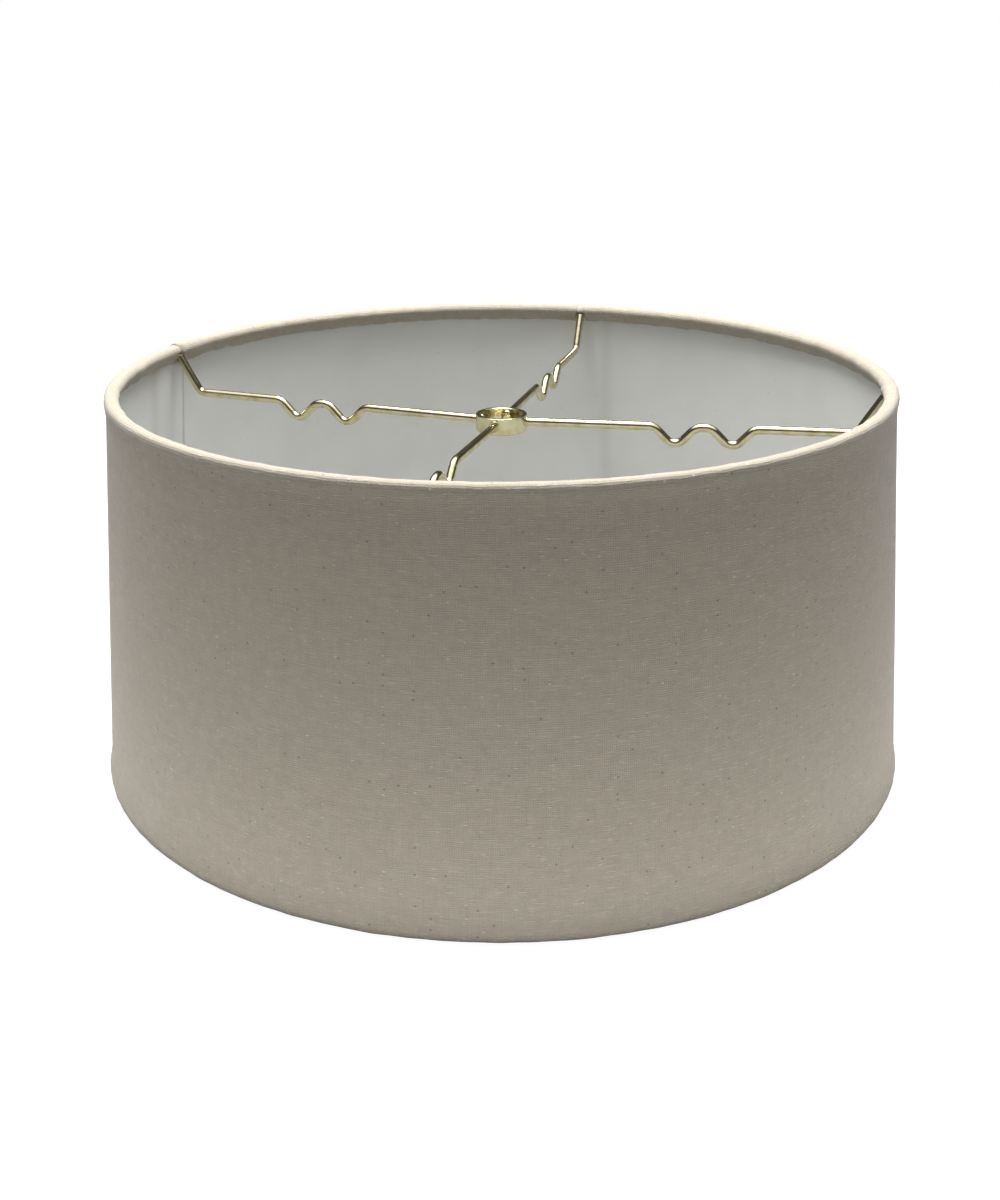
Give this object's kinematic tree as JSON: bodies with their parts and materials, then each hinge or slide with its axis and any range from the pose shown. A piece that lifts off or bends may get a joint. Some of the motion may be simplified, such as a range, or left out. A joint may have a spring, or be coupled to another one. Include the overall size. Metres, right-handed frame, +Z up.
{
  "type": "lamp shade",
  "caption": "Round hardback drum lamp shade: linen cover over a white styrene liner, rolled wire-ring edges, and a recessed brass washer-fitter spider with crimped wire arms.",
  "frame": {"origin": "on the surface that the shade stands on, at the centre of the bottom edge, on the shade's axis", "axes": "+Z up along the shade's axis, from the bottom edge to the top edge; +X to the right and +Y away from someone who faces the shade's front"},
  "size_m": [0.368, 0.368, 0.1778],
  "materials": {
    "linen_cover": "matte oatmeal linen weave with slubs and seed flecks",
    "styrene": "smooth white, low sheen",
    "tape": "translucent adhesive tape, matte",
    "ring_wire": "plain drawn wire",
    "plated_brass": "bright plated"
  },
  "bodies": {
    "root": {"fabric_cover": "linen_cover", "styrene_liner": "styrene", "seam_tape": "tape", "top_ring": "ring_wire", "bottom_ring": "ring_wire", "spider_hub": "plated_brass", "spider_arm_left": "plated_brass", "spider_arm_right": "plated_brass", "spider_arm_front": "plated_brass", "spider_arm_back": "plated_brass"}
  },
  "joints": []
}
